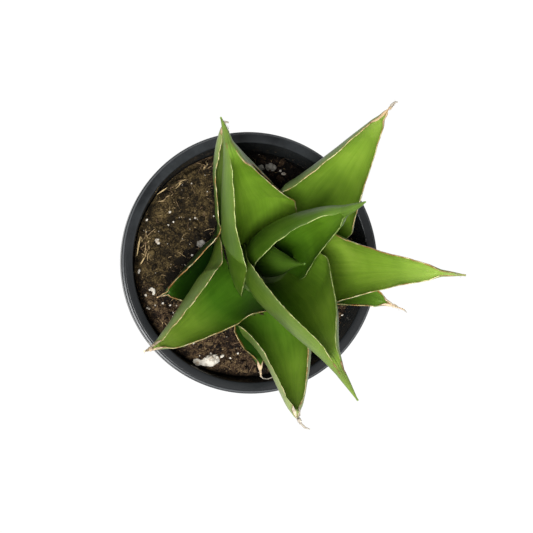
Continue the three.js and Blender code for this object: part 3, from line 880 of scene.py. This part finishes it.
# Mean height of the mix: low mounds from three crossed waves, a rise round the plant and a rolled edge.
def soilHeight(x, y):
    r = np.hypot(x, y)
    waves = (
        0.5 * np.sin(x * 0.21 + 1.3) * np.cos(y * 0.17 - 0.4)
        + 0.35 * np.sin(x * 0.43 - y * 0.39 + 2.1)
        + 0.25 * np.cos(x * 0.71 + y * 0.62)
    )
    near = np.hypot(x - plantAxis[0], y - plantAxis[1])
    past = np.maximum(r - (soil["edgeR"] - 3.4), 0)
    return soil["height"] + waves + 2.2 * np.exp(-((near / 21) ** 2)) - 0.14 * past**2


# 1 on the felted root ball, 0 on the loose crumbs round it.
def feltedShare(x, y):
    (middleX, middleY), (reachX, reachY) = soil["feltedAt"], soil["feltedR"]
    away = np.hypot((x - middleX) / reachX, (y - middleY) / reachY)
    return smooth((1.15 - away) / 0.3)


# 1 where the mix is painted almost black as painted shadow: under the leaves on the left, and behind the
# plant.
def shadowShare(x, y):
    flat = np.stack([x, y, 0 * x], -1)
    path = np.interp(y, soil["shadowY"], soil["shadowX"])
    beside = smooth((x - path) / 2.5 + 0.6 * latticeNoise(flat, 3.0, 51))
    return beside * smooth((y + 17) / 4)


# The mean height and noise on four lattices, flatter where it is felted and lower beside the wall.
def soilTop(x, y):
    flat = np.stack([x, y, 0 * x], -1)
    felted = feltedShare(x, y)
    height = soilHeight(x, y)
    for cell, rise, seed in soil["clods"]:
        height = height + rise * (1 - 0.45 * felted) * latticeNoise(flat, cell, seed)

    # The root ball has shrunk from the wall on its left, which leaves a gap.
    turn = np.degrees(np.arctan2(y, x)) % 360
    low, high = soil["gapFrom"], soil["gapTo"]
    beside = smooth((turn - low) / 12) * smooth((high - turn) / 12)
    ragged = soil["gapR"] + 0.9 * latticeNoise(flat, 3.0, 19) + 0.5 * latticeNoise(flat, 1.1, 20)
    return height - soil["gapDepth"] * beside * smooth((np.hypot(x, y) - ragged) / 0.7)


# How far a place stands above or below the clods round it, from 0 in a hollow to 1 on a crest; with it the
# mix is painted darker in the hollows, as painted shade.
def crest(x, y):
    flat = np.stack([x, y, 0 * x], -1)
    small = sum(latticeNoise(flat, cell, seed) for cell, _, seed in soil["clods"][1:])
    return np.clip(0.5 + 0.5 * small, 0, 1)


soilLook = {
    "loose": [(0.41, (0.003, 0.002, 0.0013)), (0.51, (0.026, 0.014, 0.0075)), (0.64, (0.105, 0.07, 0.034))],
    "felted": [(0.41, (0.004, 0.0028, 0.0012)), (0.51, (0.022, 0.0145, 0.005)), (0.64, (0.08, 0.056, 0.022))],
    "fibre": (0.34, 0.24, 0.12),
}


# Dark peat with brown fibres, olive brown where it is felted and redder where it is loose.
def makeSoilMaterial(look):
    shade = Shader("potting_mix")
    place = shade.place()
    felted, pick = shade.uv("ground")
    coarse = shade.noise(place, 1700.0, 4.0, 0.7)
    wide = shade.noise(place, 130.0, 3.0, 0.5)
    tone = shade.plus(shade.times(coarse, 0.78), shade.times(wide, 0.22))
    # The second map shifts the tone: painted shade in the hollows between clods, painted shadow under the
    # leaves, and random tone on the crumbs.
    tone = shade.plus(tone, shade.swing(pick, 0.13))
    colour = shade.mix(felted, shade.ramp(tone, look["loose"]), shade.ramp(tone, look["felted"]))
    x, y, z = shade.split(place)
    bent = shade.noise(place, 160.0, 2.0, 0.5)
    crossed = shade.vector(shade.times(x, 0.35), shade.plus(y, shade.times(bent, 0.004)), z)
    threads = shade.noise(crossed, 1500.0, 2.0, 0.5)
    colour = shade.mix(shade.times(shade.step(threads, 0.66, 0.74), 0.55), colour, look["fibre"])
    relief = shade.bump(shade.noise(place, 1400.0, 4.0, 0.7), 0.8, 0.0009)
    shade.set(Base_Color=colour, Roughness=0.95, Specular_IOR_Level=0.15, Normal=relief)
    return shade.material


# Rings at the height of soilTop, a little closer outwards, then the side and the underside.
def makeSoil(material):
    share = np.linspace(0, 1, soil["rings"] + 1)[1:]
    radii = soil["edgeR"] * share**0.8
    turn = np.linspace(0, 2 * math.pi, soil["around"], endpoint=False)
    x, y = radii[:, None] * np.cos(turn), radii[:, None] * np.sin(turn)
    top = np.stack([x, y, soilTop(x, y)], -1)
    foot, floor = pot["footR"] - pot["wall"], pot["floorZ"]
    sides = [(soil["edgeR"] + 0.7, soil["height"] - 3.7), (foot - 0.9, floor + 1), (foot - 1.7, floor + 0.1)]
    rows = [top]
    for r, z in sides:
        rows.append(np.stack([r * np.cos(turn), r * np.sin(turn), np.full_like(turn, z)], -1)[None])
    grid = np.concatenate(rows)[::-1]
    middle = [[0, 0, sides[-1][1]], [0, 0, float(soilTop(np.zeros(1), np.zeros(1))[0])]]
    points = np.concatenate([grid.reshape(-1, 3), middle])
    count = len(grid) * soil["around"]
    faces = loopFaces(len(grid), soil["around"], count, count + 1)
    x, y = points[:, 0], points[:, 1]
    # Colour map: the felted share, then a tone that is painted darker in the hollows between clods and in the
    # painted shadow.
    ground = np.stack([feltedShare(x, y), crest(x, y) - soil["shadowDark"] * shadowShare(x, y)], -1)
    addPiece(makePiece("soil_top", points, faces, material, {"ground": ground}), "soil", "soil")


# A ball of triangles on the unit sphere; each level splits every face in four.
def unitBall(level):
    g = (1 + 5**0.5) / 2
    points = [
        [-1, g, 0], [1, g, 0], [-1, -g, 0], [1, -g, 0], [0, -1, g], [0, 1, g],
        [0, -1, -g], [0, 1, -g], [g, 0, -1], [g, 0, 1], [-g, 0, -1], [-g, 0, 1],
    ]
    faces = [
        [0, 11, 5], [0, 5, 1], [0, 1, 7], [0, 7, 10], [0, 10, 11], [1, 5, 9], [5, 11, 4],
        [11, 10, 2], [10, 7, 6], [7, 1, 8], [3, 9, 4], [3, 4, 2], [3, 2, 6], [3, 6, 8],
        [3, 8, 9], [4, 9, 5], [2, 4, 11], [6, 2, 10], [8, 6, 7], [9, 8, 1],
    ]
    points = [np.array(p, float) / math.hypot(*p) for p in points]
    for _ in range(level):
        halves, finer = {}, []

        def middle(a, b):
            key = (min(a, b), max(a, b))
            if key not in halves:
                halves[key] = len(points)
                at = points[a] + points[b]
                points.append(at / np.linalg.norm(at))
            return halves[key]

        for a, b, c in faces:
            ab, bc, ca = middle(a, b), middle(b, c), middle(c, a)
            finer += [[a, ab, ca], [b, bc, ab], [c, ca, bc], [ab, bc, ca]]
        faces = finer
    return np.array(points), np.array(faces)


# Random places over the mix, no further than a radius from the pot's axis.
def placesOnMix(draw, reach, count):
    r = reach * np.sqrt(draw.random(count))
    turn = draw.random(count) * 2 * math.pi
    return r * np.cos(turn), r * np.sin(turn)


# Many lumps in one mesh: the unit ball pushed in and out by noise, stretched, turned and set on the mix.
def lumpField(draw, x, y, size, row):
    least, more = row["stretch"]
    sizes = size[:, None] * (least + more * draw.random((len(x), 3)))
    centres = np.stack([x, y, soilTop(x, y) + row["raise"] * size], -1)
    turns = draw.random((len(x), 2)) * 2 * math.pi
    ball, ballFaces = unitBall(row["level"])
    count, n = len(centres), len(ball)
    spread = np.arange(count)[:, None, None] * 13.7
    push = 1 + row["rough"] * roughNoise(ball[None] + spread, 0.9, row["lumpSeed"], 2, 0.6)
    points = ball[None] * push[..., None] * sizes[:, None] / 2
    tilt, swing = turns[:, 0], turns[:, 1]
    y = points[..., 1] * np.cos(tilt)[:, None] - points[..., 2] * np.sin(tilt)[:, None]
    z = points[..., 1] * np.sin(tilt)[:, None] + points[..., 2] * np.cos(tilt)[:, None]
    x = points[..., 0] * np.cos(swing)[:, None] - y * np.sin(swing)[:, None]
    y = points[..., 0] * np.sin(swing)[:, None] + y * np.cos(swing)[:, None]
    points = np.stack([x, y, z], -1) + centres[:, None]
    faces = ballFaces[None] + np.arange(count)[:, None, None] * n
    return points.reshape(-1, 3), faces.reshape(-1, 3).tolist(), n


crumbs = {
    "fine": {
        "count": 3000, "size": (0.5, 1.6), "level": 0, "seed": 3, "lumpSeed": 23,
        "stretch": (0.65, 0.6), "raise": 0.18, "rough": 0.45,
    },
    "coarse": {
        "count": 330, "size": (1.5, 3.2), "level": 1, "seed": 4, "lumpSeed": 24,
        "stretch": (0.65, 0.6), "raise": 0.18, "rough": 0.45,
    },
}


# Loose crumbs of peat over the mix: few on the felted root ball, none against the stem.
def makeCrumbs(material):
    for name, row in crumbs.items():
        draw = np.random.default_rng(row["seed"])
        wanted = row["count"]
        x, y = placesOnMix(draw, soil["edgeR"] - 0.3, wanted * 3)
        clear = np.hypot(x - plantAxis[0], y - plantAxis[1]) > 12
        kept = (draw.random(wanted * 3) > 0.78 * feltedShare(x, y)) & clear
        x, y = x[kept][:wanted], y[kept][:wanted]
        low, high = row["size"]
        size = low + (high - low) * draw.random(len(x)) ** 2
        points, faces, each = lumpField(draw, x, y, size, row)
        # Each crumb's random tone is darkened where the painted shadow lies.
        pick = draw.uniform(-0.4, 1.6, len(x)) - soil["shadowDark"] * shadowShare(x, y)
        ground = np.stack([feltedShare(x, y), pick], -1).repeat(each, 0)
        addPiece(makePiece("crumbs_" + name, points, faces, material, {"ground": ground}, 80), "soil")


perlite = {
    "lumps": [  # node, place, size and turn
        ("perlite_01", (-15.5, -40.5), (8.4, 5.2, 4.2), 12),
        ("perlite_02", (-21.0, -41.0), (3.8, 3.0, 2.6), -20),
        ("perlite_03", (9.5, 40.5), (5.4, 3.4, 3.0), -12),
        ("perlite_04", (5.5, 40.0), (2.8, 2.6, 2.4), 0),
        ("perlite_05", (-20.0, 8.0), (3.6, 3.0, 2.6), 15),
        ("perlite_06", (-40.5, -12.0), (3.0, 3.4, 2.6), 30),
        ("perlite_07", (-38.0, 8.5), (2.4, 2.8, 2.2), 0),
    ],
    "shaded": ("perlite_03", "perlite_04", "perlite_05"),  # lie in the painted shadow and take a darker copy of the perlite, painted shade
    "level": 4,
    "specks": {
        "count": 150, "size": (0.3, 1.1), "level": 1, "seed": 9, "lumpSeed": 31,
        "stretch": (0.7, 0.6), "raise": 0.3, "rough": 0.3,
    },
    "placed": [  # x, y and size of single specks
        (-10.8, -38.8, 1.9), (15.3, 37.6, 1.8), (-45.0, -3.7, 2.0), (-42.9, -13.6, 1.1),
        (-41.1, -18.9, 1.7), (-35.7, -16.9, 0.9), (-32.7, -17.7, 0.9), (-30.2, -17.7, 0.8),
        (-31.5, -20.6, 0.9), (-36.5, -20.6, 0.8), (-3.6, -30.1, 1.2), (-4.5, -37.5, 0.9),
        (41.4, -21.4, 0.9), (-42.0, 17.4, 1.2), (-33.6, 15.4, 1.0), (-22.3, 18.5, 0.9),
    ],
}


# White expanded rock: chalky, faintly yellow in patches.
def makePerliteMaterial(name, white, stained):
    shade = Shader(name)
    place = shade.place()
    patches = shade.noise(place, 420.0, 4.0, 0.65)
    pits = shade.cells(place, 1500.0)
    colour = shade.mix(shade.step(patches, 0.46, 0.72), white, stained)
    relief = shade.bump(pits, 0.5, 0.0004, shade.bump(patches, 0.4, 0.0008))
    shade.set(Base_Color=colour, Roughness=0.9, Normal=relief)
    return shade.material


# Each lump is a ball pushed in and out by noise and chipped, stretched to its size and turned.
def makePerlite(material, shaded):
    ball, faces = unitBall(perlite["level"])
    for number, (name, at, size, turn) in enumerate(perlite["lumps"]):
        push = 1 + 0.2 * roughNoise(ball + 5.3 * number, 0.8, 70 + number, 4, 0.55)
        chips = np.minimum(np.abs(latticeNoise(ball * 1.3 + 9 * number, 0.7, 5)) * 3, 1)
        points = ball * (push * (0.93 + 0.07 * chips))[:, None] * np.array(size) / 2
        a = math.radians(turn)
        points = points @ np.array([[math.cos(a), math.sin(a), 0], [-math.sin(a), math.cos(a), 0], [0, 0, 1]])
        z = soilHeight(np.float64(at[0]), np.float64(at[1])) + size[2] * 0.12
        points = points + np.array([at[0], at[1], z])
        # Grains in the painted shadow take the darker copy, painted shade.
        chosen = shaded if name in perlite["shaded"] else material
        addPiece(makePiece(name + "_grain", points, faces.tolist(), chosen, sharp=45), "perlite", name)
    row = perlite["specks"]
    draw = np.random.default_rng(row["seed"])
    x, y = placesOnMix(draw, soil["edgeR"] - 0.5, row["count"])
    low, high = row["size"]
    size = low + (high - low) * draw.random(row["count"]) ** 3
    placed = np.array(perlite["placed"])
    x, y = np.concatenate([x, placed[:, 0]]), np.concatenate([y, placed[:, 1]])
    points, faces, _ = lumpField(draw, x, y, np.concatenate([size, placed[:, 2]]), row)
    addPiece(makePiece("perlite_specks", points, faces, material, sharp=80), "perlite")


# Round tubes along several paths in one mesh: each section turns in the plane across its path.
def tubeField(paths, radii, sides):
    points, faces, start = [], [], 0
    for path, radius in zip(paths, radii):
        along = np.gradient(path, axis=0)
        along /= np.linalg.norm(along, axis=1)[:, None] + 1e-9
        up = np.array([0.21, 0.13, 0.97])
        side = np.cross(along, up)
        side /= np.linalg.norm(side, axis=1)[:, None] + 1e-9
        lift = np.cross(side, along)
        turn = np.linspace(0, 2 * math.pi, sides, endpoint=False)
        thick = np.broadcast_to(radius, len(path))[:, None, None]
        ring = np.cos(turn)[None, :, None] * side[:, None] + np.sin(turn)[None, :, None] * lift[:, None]
        skin = (path[:, None] + thick * ring).reshape(-1, 3)
        points += [skin, path[:1], path[-1:]]
        count = len(path) * sides
        for face in loopFaces(len(path), sides, count, count + 1):
            faces.append([start + k for k in reversed(face)])  # turned over, so that they face outwards
        start += count + 2
    return np.concatenate(points), faces


fibres = {
    "loose": {"count": 240, "length": (1.2, 4.6), "radius": (0.05, 0.1), "brightest": 0.75, "seed": 15},
    "straw": {"count": 44, "length": (1.2, 5.0), "radius": (0.08, 0.2), "brightest": 1.0, "seed": 16},
    "reach": 45,  # how far out the loose ones lie
    "strawR": (43.9, 0.8),  # where the straw lies, and its spread
    "limitR": 46.9,  # none lies further out than this
    "bunches": [(131, 4), (143, 6), (116, 5), (170, 4), (174, 3), (211, 4)],  # direction and spread
    "slivers": [  # x, y, heading, length and radius
        (-45.7, 6.6, 80, 8.0, 0.42), (-44.2, 0.6, 60, 3.4, 0.3), (-36.0, 29.5, 35, 5.0, 0.3),
    ],
    "steps": 7,
    "sides": 5,
}


# Dry fibre, paler in patches and by its own tone.
def makeFibreMaterial(name, dark, pale):
    shade = Shader(name)
    _, pick = shade.uv("ground")
    patches = shade.noise(shade.place(), 500.0, 3.0, 0.6)
    share = shade.plus(shade.times(patches, 0.6), shade.times(pick, 0.7))
    colour = shade.mix(shade.step(share, 0.35, 0.95), dark, pale)
    shade.set(Base_Color=colour, Roughness=0.8, Normal=shade.bump(patches, 0.3, 0.0003))
    return shade.material


# Tubes as one piece, each with its own tone in its colour map.
def addTubes(name, paths, radii, tones, sides, material, slot):
    points, faces = tubeField(paths, radii, sides)
    ground = np.stack([np.ones(len(points)), np.repeat(tones, len(points) // len(paths))], -1)
    addPiece(makePiece(name, points, faces, material, {"ground": ground}, 80), slot)


# Bent fibres that lie on the mix, and straw along the edge of the root ball.
def makeFibres(material):
    t = np.linspace(-0.5, 0.5, fibres["steps"])
    for name in ("loose", "straw"):
        row = fibres[name]
        draw = np.random.default_rng(row["seed"])
        paths, radii, tones = [], [], []
        for _ in range(row["count"]):
            if name == "straw":
                bunch = fibres["bunches"][draw.integers(len(fibres["bunches"]))]
                turn = math.radians(draw.normal(*bunch))
                r = draw.normal(*fibres["strawR"])
                heading = turn + math.pi / 2 + draw.normal(0, 0.5)
            else:
                turn, r = draw.uniform(0, 2 * math.pi), fibres["reach"] * math.sqrt(draw.random())
                heading = draw.uniform(0, 2 * math.pi)
            length = row["length"][0] + (row["length"][1] - row["length"][0]) * draw.random() ** 2
            bend = draw.normal(0, 0.5)
            ahead, aside = length * t, bend * length * t * t
            x = r * math.cos(turn) + ahead * math.cos(heading) - aside * math.sin(heading)
            y = r * math.sin(turn) + ahead * math.sin(heading) + aside * math.cos(heading)
            keep = np.minimum(1, fibres["limitR"] / np.maximum(np.hypot(x, y), 1e-6))
            x, y = x * keep, y * keep
            thick = draw.uniform(*row["radius"])
            arch = draw.uniform(0.1, 0.9) * (1 - 4 * t * t)
            paths.append(np.stack([x, y, soilTop(x, y) + thick + 0.25 + arch], -1))
            radii.append(thick * (1 - 0.6 * np.abs(2 * t) ** 3))
            tones.append(draw.random() * row["brightest"])
        for atX, atY, heading, length, thick in fibres["slivers"] if name == "straw" else []:
            x = atX + length * t * math.cos(math.radians(heading))
            y = atY + length * t * math.sin(math.radians(heading))
            paths.append(np.stack([x, y, soilHeight(x, y) + 0.6 + 0 * t], -1))
            radii.append(thick * (1 - 0.7 * np.abs(2 * t) ** 3))
            tones.append(1.2)
        addTubes("fibres_" + name, paths, radii, tones, fibres["sides"], material, "soil")


# Dried threads at the leaf tips: places along each thread, then its radius at the start and the end.
threads = [
    ([(37.4, 55.6, 161.5), (38.4, 56.6, 161.6), (39.4, 57.3, 161.2), (40.3, 57.2, 161.0)], 0.5, 0.3),
    ([(7.0, -61.6, 140.6), (8.2, -63.5, 139.6), (9.8, -65.0, 139.5), (11.6, -65.6, 140.5)], 0.8, 0.2),
    ([(-21.0, 51.0, 137.4), (-21.8, 51.0, 139.6), (-21.6, 50.7, 141.2), (-20.3, 50.4, 141.6)], 0.42, 0.3),
    ([(53.6, -19.4, 123.6), (54.8, -20.2, 123.5), (55.8, -20.9, 122.9)], 0.3, 0.15),
    (
        [(2.5, -46.6, 94.6), (4.2, -47.6, 91.6), (6.8, -48.0, 88.6), (9.4, -47.2, 87.4), (11.3, -46.0, 87.0)],
        0.3, 0.14,
    ),
]
shreds = {"each": 4, "length": (0.6, 2.0), "radius": (0.07, 0.17), "back": (0.8, 4.5), "seed": 27}
threadSteps = 16


# Each thread runs through its places in soft bends; each shred is a short bent hair near a dried tip.
def makeThreads(material):
    draw = np.random.default_rng(shreds["seed"])
    paths, radii, tones = [], [], []
    for places, first, last in threads:
        places = np.array(places)
        t = np.linspace(0, len(places) - 1, threadSteps)
        low = np.minimum(t.astype(int), len(places) - 2)
        part = smooth(t - low)[:, None] * 0.35 + (t - low)[:, None] * 0.65
        path = places[low] * (1 - part) + places[low + 1] * part
        paths.append(path)
        thick = np.linspace(first, last, len(t))
        radii.append(thick * (1 + 0.4 * latticeNoise(path, 1.2, 33)))
        tones.append(0.9)
    t = np.linspace(0, 1, threadSteps)[:, None]
    for leaf in leaves:
        if leaf["dry"] > 1:
            continue
        tip = np.array(leaf["tip"], float)
        heading = tip - np.array([*plantAxis, leaf["tip"][2] - 12.0])
        heading /= np.linalg.norm(heading)
        for _ in range(shreds["each"]):
            way = heading + draw.normal(0, 0.45, 3)
            way /= np.linalg.norm(way)
            length = draw.uniform(*shreds["length"])
            start = tip - heading * draw.uniform(*shreds["back"])
            bend = draw.normal(0, 0.3, 3)
            paths.append(start + way * length * t + bend * length * t * t)
            radii.append(draw.uniform(*shreds["radius"]) * (1 - 0.75 * t[:, 0]))
            tones.append(0.45 + 0.5 * draw.random())
    addTubes("leaf_threads", paths, radii, tones, 6, material, "leaf")


crown = {
    "radius": 14.0,
    "around": 96,
    "roundSteps": 6,
    "rind": [(0.3, (0.03, 0.05, 0.01)), (0.55, (0.07, 0.12, 0.02)), (0.8, (0.16, 0.14, 0.06))],
}


# The short stem that the leaves grow from.
def makeCrown(material):
    r, z = crown["radius"], rootZ
    corners = [
        ([0, z - 11], 0), ([r - 5, z - 11], 2), ([r - 1, z - 5], 2), ([r, z + 2], 2),
        ([r - 1.5, z + 7], 2), ([r - 5, z + 10.5], 2), ([r - 9.5, z + 12.5], 2), ([0, z + 13], 0),
    ]
    points, faces = turnedSkin(roundedProfile(corners, crown["roundSteps"]), crown["around"])
    points[:, :2] += plantAxis
    addPiece(makePiece("crown_stem", points, faces, material), "crown", "crown")


def makeCrownMaterial(stops):
    shade = Shader("crown_rind")
    cloud = shade.noise(shade.place(), 220.0, 4.0, 0.6)
    shade.set(Base_Color=shade.ramp(cloud, stops), Roughness=0.6, Normal=shade.bump(cloud, 0.3, 0.0006))
    return shade.material


makePot(makePotMaterial(potLook))
print("pot is made")
mix = makeSoilMaterial(soilLook)
makeSoil(mix)
makeCrumbs(mix)
makeFibres(makeFibreMaterial("dry_fibre", (0.12, 0.07, 0.035), (0.36, 0.26, 0.12)))
print("potting mix is made")
white = makePerliteMaterial("perlite_grain", (0.46, 0.43, 0.37), (0.2, 0.15, 0.1))
# A darker copy of the same perlite, painted shade for the grains in the painted shadow.
shaded = makePerliteMaterial("perlite_shaded", (0.2, 0.19, 0.165), (0.05, 0.042, 0.03))
makePerlite(white, shaded)
makeCrown(makeCrownMaterial(crown["rind"]))
print("perlite and crown are made")
makeThreads(makeFibreMaterial("dried_leaf", (0.12, 0.07, 0.035), (0.31, 0.275, 0.22)))
print("dried threads are made")
